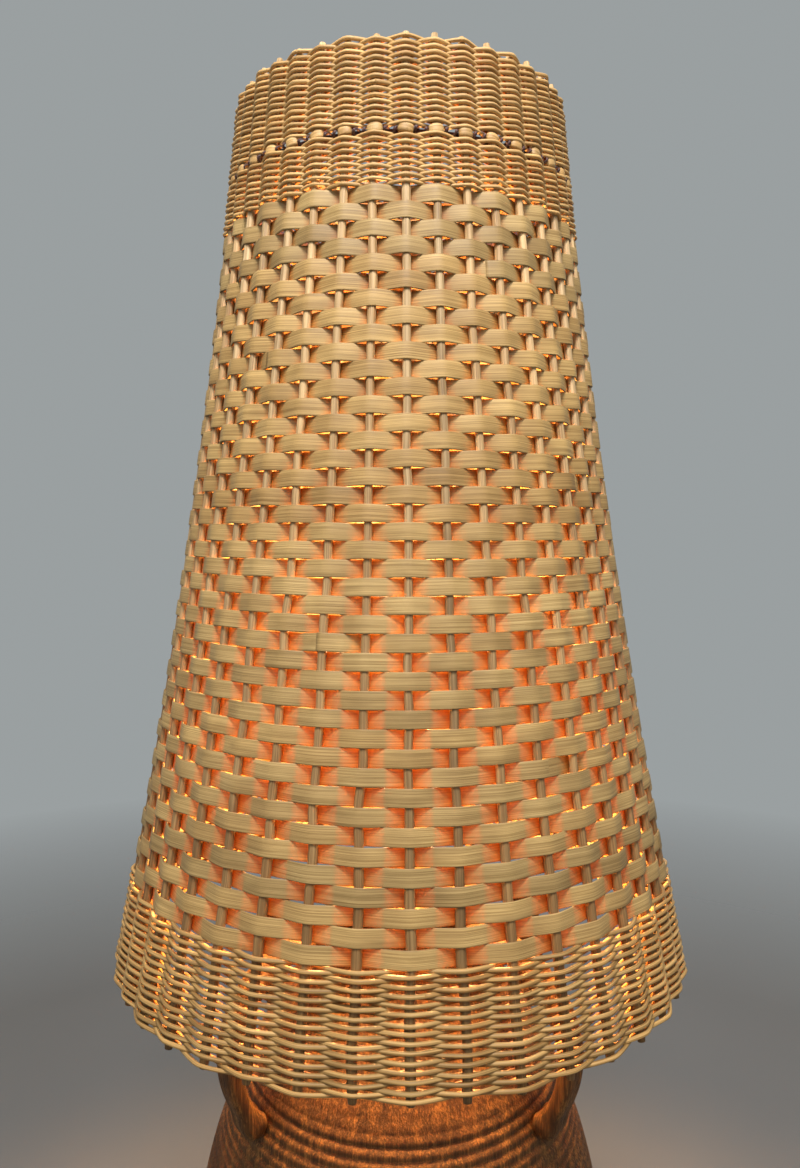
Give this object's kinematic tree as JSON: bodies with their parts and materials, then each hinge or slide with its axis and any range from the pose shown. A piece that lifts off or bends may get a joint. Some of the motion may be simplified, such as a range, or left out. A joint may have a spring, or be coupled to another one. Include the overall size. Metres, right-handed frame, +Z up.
{
  "type": "floor lamp",
  "caption": "Floor lamp: a dark stoneware jug with ear handles under a tall woven cane shade, lit by a globe bulb inside a harp.",
  "frame": {"origin": "on the floor, under the middle of the jug's foot", "axes": "+Z up the stem, front towards -Y, +X to the right seen from the front"},
  "size_m": [0.4156, 0.4156, 1.1433],
  "materials": {
    "stoneware": "matte dark brown, combed, with throwing grooves",
    "felt": "matte",
    "rubber": "matte",
    "brass": "satin, aged",
    "steel": "satin",
    "porcelain": "gloss",
    "bulb_glass": "opal, lit warm",
    "clear_glass": "clear",
    "bulb_insulator": "black gloss",
    "filament": "glowing",
    "cane": "natural, satin",
    "lashing": "dark stained cane",
    "turned_wood": "oiled"
  },
  "bodies": {
    "base": {"jug_foot": "stoneware", "jug_belly": "stoneware", "jug_neck": "stoneware", "handle_front_right": "stoneware", "handle_back_right": "stoneware", "handle_back_left": "stoneware", "handle_front_left": "stoneware", "felt_ring": "felt", "cable_grommet": "rubber", "mouth_gasket": "rubber", "mouth_cap": "brass", "clamp_bar": "steel", "stem_tube": "brass", "stem_nuts": "brass", "stem_washers": "steel", "neck_spacer": "brass", "harp_saddle": "brass", "holder_cap": "brass", "holder_shell": "brass", "holder_insulator": "porcelain", "holder_screw_shell": "brass", "holder_centre_contact": "brass", "holder_side_contact": "brass", "holder_terminal_screws": "brass"},
    "bulb_tip": {"bulb_tip": "steel"},
    "bulb": {"bulb_cap": "brass", "bulb_insulator": "bulb_insulator", "bulb_glass": "bulb_glass", "bulb_stem": "clear_glass", "bulb_filament": "filament"},
    "harp": {"harp_bow": "brass", "harp_stud": "brass"},
    "ferrule_left": {"harp_ferrule_left": "brass"},
    "ferrule_right": {"harp_ferrule_right": "brass"},
    "seat": {"seat_washer": "brass"},
    "shade": {"spider_hub": "brass", "spider_arms": "brass", "spider_ring": "lashing", "shade_stakes": "cane", "lower_reed_weave": "cane", "flat_cane_weave": "cane", "upper_reed_weave": "cane", "seam_lashing": "lashing", "top_reed_weave": "cane"},
    "finial_insert": {"finial_insert": "brass"},
    "finial_knob": {"finial_knob": "turned_wood"}
  },
  "joints": [
    {"name": "bulb_rise", "type": "slide", "parent": "base", "child": "bulb_tip", "axis": [0, 0, 1], "range_m": [0, 0.02198]},
    {"name": "bulb_turn", "type": "hinge", "parent": "bulb_tip", "child": "bulb", "pos_m": [0, 0, 0.667], "axis": [0, 0, 1], "range_deg": [0, 2160]},
    {"name": "harp_lift", "type": "slide", "parent": "base", "child": "harp", "axis": [0, 0, 1], "range_m": [0, 0.02]},
    {"name": "ferrule_left_slide", "type": "slide", "parent": "harp", "child": "ferrule_left", "axis": [0, 0, 1], "range_m": [0, 0.01]},
    {"name": "ferrule_right_slide", "type": "slide", "parent": "harp", "child": "ferrule_right", "axis": [0, 0, 1], "range_m": [0, 0.01]},
    {"name": "shade_lift", "type": "slide", "parent": "harp", "child": "seat", "axis": [0, 0, 1], "range_m": [0, 0.55]},
    {"name": "shade_turn", "type": "hinge", "parent": "seat", "child": "shade", "pos_m": [0, 0, 1.03], "axis": [0, 0, 1], "continuous": true},
    {"name": "finial_rise", "type": "slide", "parent": "seat", "child": "finial_insert", "axis": [0, 0, 1], "range_m": [0, 0.01148]},
    {"name": "finial_turn", "type": "hinge", "parent": "finial_insert", "child": "finial_knob", "pos_m": [0, 0, 1.04], "axis": [0, 0, 1], "range_deg": [0, 4320]}
  ],
  "couplings": [
    {"joint": "bulb_rise", "follows": "bulb_turn", "m_per_rad": 0.00057773},
    {"joint": "finial_rise", "follows": "finial_turn", "m_per_rad": 0.00014961}
  ]
}
